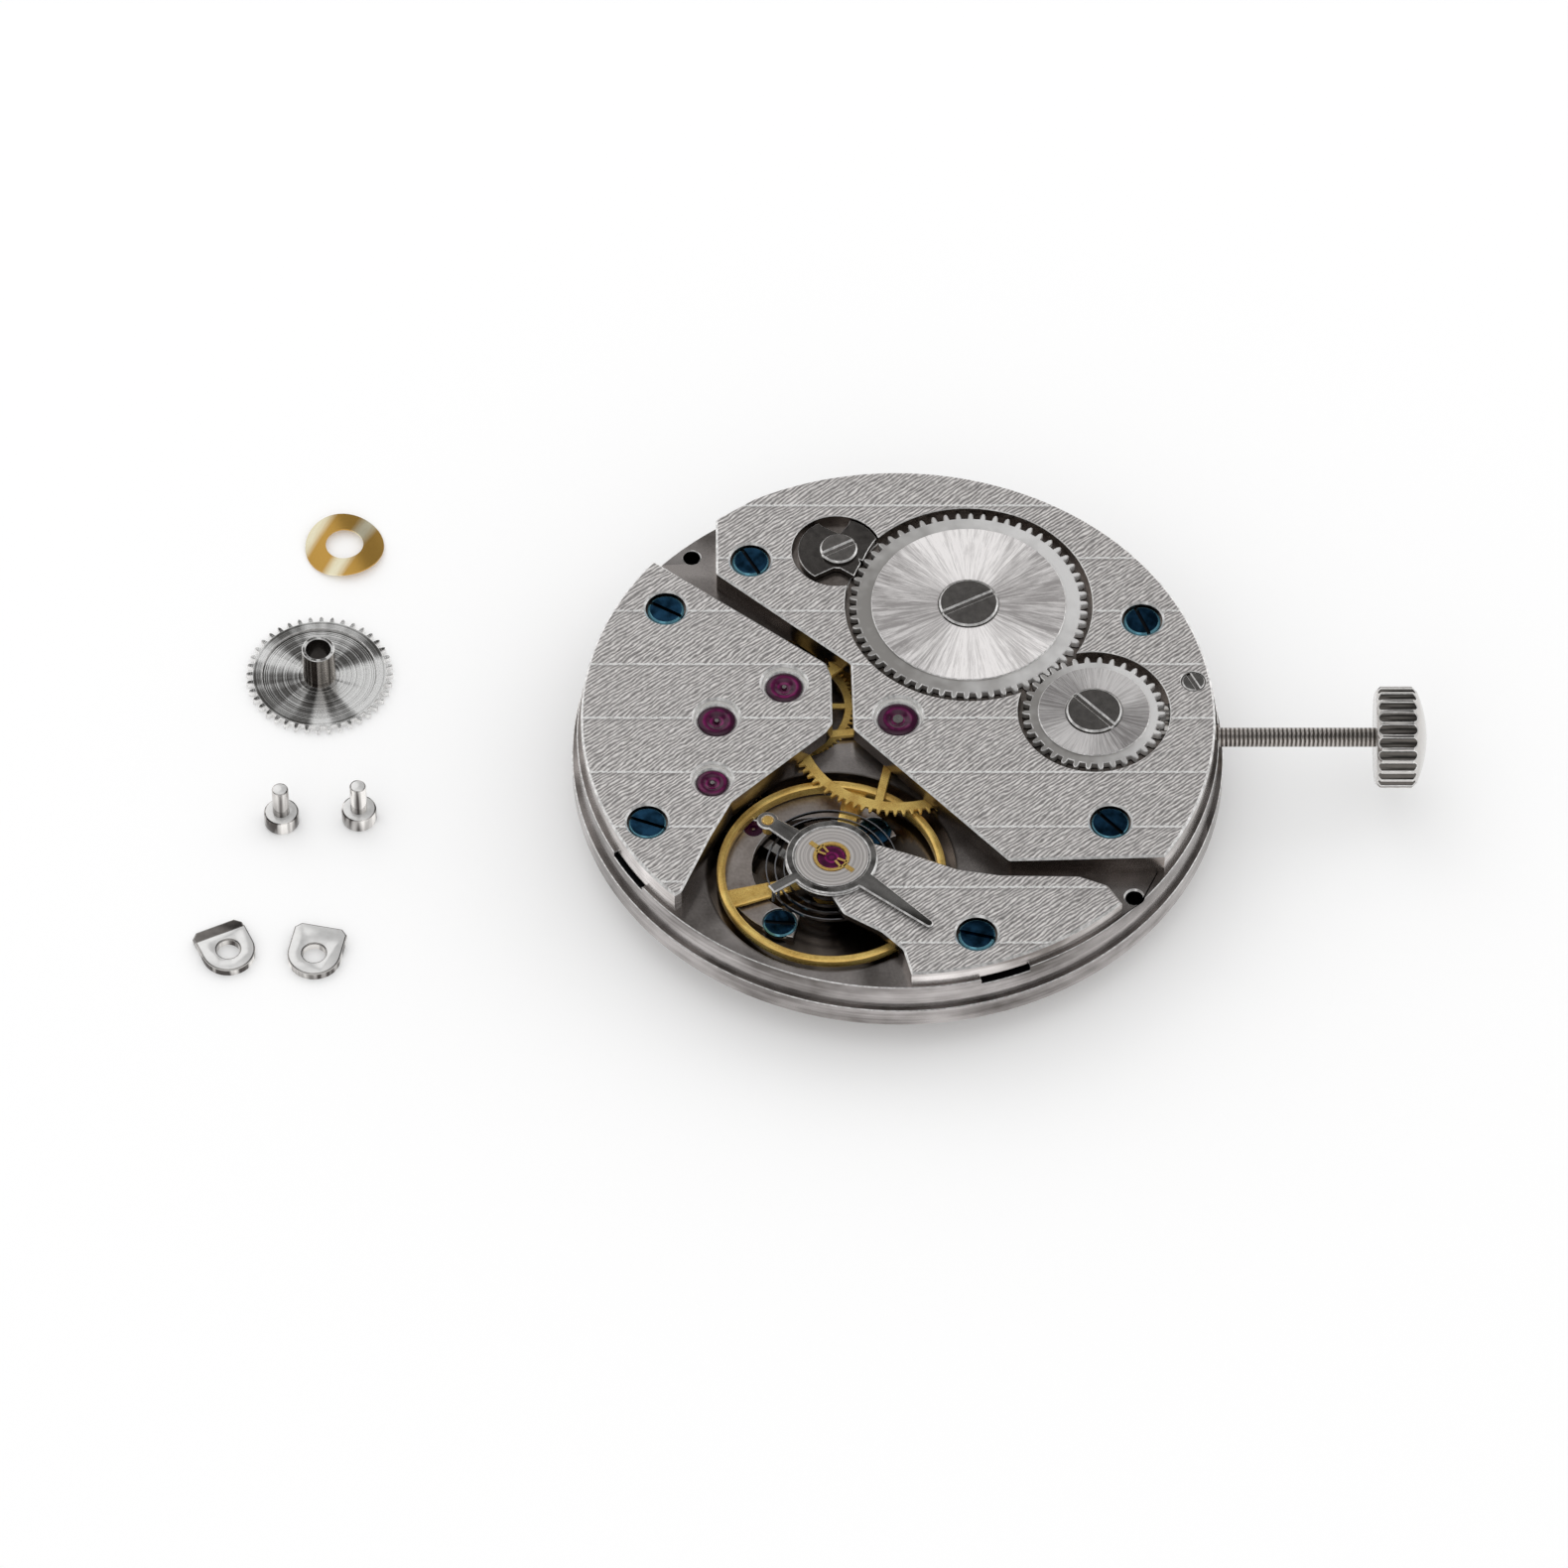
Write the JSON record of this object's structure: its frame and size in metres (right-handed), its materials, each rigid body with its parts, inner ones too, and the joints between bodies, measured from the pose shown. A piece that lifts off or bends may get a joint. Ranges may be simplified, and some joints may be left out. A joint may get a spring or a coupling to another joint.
{
  "type": "watch movement",
  "caption": "Hand-wound mechanical watch movement with striped bridges, gear train, balance, winding stem and crown, plus loose hour wheel, washer, case screws and clamps",
  "frame": {"origin": "middle of the main plate on the face that the dial sits on", "axes": "+X along the stem to the crown, +Z out of the bridge side, +Y completes the right-handed set"},
  "size_m": [0.0702, 0.0387, 0.0076],
  "materials": {
    "nickel_striped": "striped",
    "nickel_plate": "satin",
    "steel_polished": "polished",
    "steel_brushed": "sunray",
    "blued_steel": "polished",
    "dark_steel": "polished",
    "gilt_brass": "polished",
    "ruby": "polished",
    "spring_steel": "polished"
  },
  "bodies": {
    "frame": {"main_plate": "nickel_plate", "barrel_bridge": "nickel_striped", "train_bridge": "nickel_striped", "balance_cock": "nickel_striped", "bridge_screws": "blued_steel", "upper_jewels": "ruby", "lower_jewels": "ruby", "crown_wheel_screw": "dark_steel", "click_screw": "dark_steel", "click_spring": "spring_steel", "pallet_bridge": "nickel_plate", "pallet_bridge_screws": "blued_steel", "pallet_jewels": "ruby", "shock_block_upper": "steel_brushed", "shock_block_lower": "steel_brushed", "shock_jewels": "ruby", "shock_springs": "gilt_brass", "setting_lever_screw": "steel_polished", "setting_lever_spring": "steel_polished", "keyless_screws": "steel_polished", "yoke_spring": "spring_steel", "hour_wheel": "steel_polished", "dial_washer": "gilt_brass", "case_screws": "steel_polished", "case_clamps": "steel_polished"},
    "barrel": {"barrel_drum": "gilt_brass", "barrel_cover": "gilt_brass", "mainspring": "spring_steel"},
    "arbor": {"barrel_arbor": "steel_polished", "ratchet_wheel": "steel_brushed", "ratchet_screw": "dark_steel"},
    "centre": {"centre_wheel": "gilt_brass", "centre_pinion": "steel_polished", "cannon_pinion": "steel_polished"},
    "third": {"third_wheel": "gilt_brass", "third_pinion": "steel_polished"},
    "fourth": {"fourth_wheel": "gilt_brass", "fourth_pinion": "steel_polished"},
    "escape": {"escape_wheel": "steel_polished", "escape_pinion": "steel_polished"},
    "pallets": {"pallet_fork": "steel_polished", "pallet_stones": "ruby"},
    "balance": {"balance_wheel": "gilt_brass", "balance_staff": "steel_polished", "roller": "steel_polished", "impulse_pin": "ruby"},
    "stud_holder": {"stud_carrier": "dark_steel", "hairspring_stud": "gilt_brass", "hairspring": "spring_steel"},
    "regulator_arm": {"regulator": "dark_steel"},
    "click_plate": {"click": "dark_steel"},
    "crown_gear": {"crown_wheel": "steel_brushed"},
    "winding": {"winding_pinion": "steel_polished"},
    "stem": {"winding_stem": "steel_polished", "crown": "steel_polished"},
    "clutch": {"sliding_pinion": "steel_polished"},
    "setting_lever_arm": {"setting_lever": "steel_polished"},
    "yoke_arm": {"yoke": "steel_polished"},
    "setting_gear": {"setting_wheel": "steel_polished"},
    "minute_gear": {"minute_wheel": "steel_polished"}
  },
  "joints": [
    {"name": "seconds_wheel_turn", "type": "hinge", "parent": "frame", "child": "fourth", "pos_m": [-0.01032, -0.00012, 0.0012], "axis": [0, 0, 1], "continuous": true},
    {"name": "third_wheel_turn", "type": "hinge", "parent": "frame", "child": "third", "pos_m": [-0.00648, 0.00233, 0.0023], "axis": [0, 0, 1], "continuous": true},
    {"name": "centre_wheel_turn", "type": "hinge", "parent": "frame", "child": "centre", "pos_m": [0, 0, 0.00315], "axis": [0, 0, 1], "continuous": true},
    {"name": "barrel_turn", "type": "hinge", "parent": "frame", "child": "barrel", "pos_m": [0.0041, 0.0082, 0.0015], "axis": [0, 0, 1], "continuous": true},
    {"name": "escape_wheel_turn", "type": "hinge", "parent": "frame", "child": "escape", "pos_m": [-0.01055, -0.0046, 0.0016], "axis": [0, 0, 1], "continuous": true},
    {"name": "minute_wheel_turn", "type": "hinge", "parent": "frame", "child": "minute_gear", "pos_m": [0.00335, -0.00233, 0.0005], "axis": [0, 0, 1], "continuous": true},
    {"name": "setting_wheel_turn", "type": "hinge", "parent": "frame", "child": "setting_gear", "pos_m": [0.0075, 0, 0.0008], "axis": [0, 0, 1], "continuous": true},
    {"name": "pallet_swing", "type": "hinge", "parent": "frame", "child": "pallets", "pos_m": [-0.00821, -0.00648, 0.0017], "axis": [0, 0, 1], "range_deg": [-5.5, 5.5]},
    {"name": "balance_swing", "type": "hinge", "parent": "frame", "child": "balance", "pos_m": [-0.00381, -0.01003, 0.0026], "axis": [0, 0, 1], "range_deg": [-280, 280], "stiffness_Nm_per_rad": 0.00000089, "deforming": ["hairspring"]},
    {"name": "stud_carrier_shift", "type": "hinge", "parent": "frame", "child": "stud_holder", "pos_m": [-0.00381, -0.01003, 0.0041], "axis": [0, 0, 1], "range_deg": [-10, 10]},
    {"name": "regulator_shift", "type": "hinge", "parent": "frame", "child": "regulator_arm", "pos_m": [-0.00381, -0.01003, 0.0042], "axis": [0, 0, 1], "range_deg": [-20, 20]},
    {"name": "click_swing", "type": "hinge", "parent": "frame", "child": "click_plate", "pos_m": [-0.00334, 0.01226, 0.0041], "axis": [0, 0, 1], "range_deg": [-9, 0], "stiffness_Nm_per_rad": 0.000002},
    {"name": "crown_wheel_turn", "type": "hinge", "parent": "frame", "child": "crown_gear", "pos_m": [0.01115, 0.00031, 0.0042], "axis": [0, 0, 1], "continuous": true},
    {"name": "ratchet_turn", "type": "hinge", "parent": "frame", "child": "arbor", "pos_m": [0.0041, 0.0082, 0.0042], "axis": [0, 0, 1], "continuous": true},
    {"name": "winding_turn", "type": "hinge", "parent": "frame", "child": "winding", "pos_m": [0.0149, 0, 0.0025], "axis": [1, 0, 0], "continuous": true},
    {"name": "crown_pull", "type": "slide", "parent": "winding", "child": "stem", "axis": [1, 0, 0], "range_m": [0, 0.0009]},
    {"name": "clutch_slide", "type": "slide", "parent": "winding", "child": "clutch", "axis": [-1, 0, 0], "range_m": [0, 0.00075]},
    {"name": "setting_lever_swing", "type": "hinge", "parent": "frame", "child": "setting_lever_arm", "pos_m": [0.01686, 0.0025, 0.0005], "axis": [0, 0, 1], "range_deg": [0, 22]},
    {"name": "yoke_swing", "type": "hinge", "parent": "frame", "child": "yoke_arm", "pos_m": [0.0124, -0.0047, 0.0005], "axis": [0, 0, 1], "range_deg": [0, 10]}
  ],
  "couplings": [
    {"joint": "third_wheel_turn", "follows": "seconds_wheel_turn", "ratio": -0.13333},
    {"joint": "centre_wheel_turn", "follows": "seconds_wheel_turn", "ratio": 0.016667},
    {"joint": "barrel_turn", "follows": "seconds_wheel_turn", "ratio": -0.0025},
    {"joint": "escape_wheel_turn", "follows": "seconds_wheel_turn", "ratio": -10},
    {"joint": "minute_wheel_turn", "follows": "seconds_wheel_turn", "ratio": -0.0055556},
    {"joint": "setting_wheel_turn", "follows": "seconds_wheel_turn", "ratio": 0.01},
    {"joint": "crown_wheel_turn", "follows": "winding_turn", "ratio": -0.41176},
    {"joint": "ratchet_turn", "follows": "winding_turn", "ratio": 0.24138},
    {"joint": "clutch_slide", "follows": "crown_pull", "ratio": 0.83333},
    {"joint": "setting_lever_swing", "follows": "crown_pull", "rad_per_m": 400},
    {"joint": "yoke_swing", "follows": "crown_pull", "rad_per_m": 180}
  ]
}
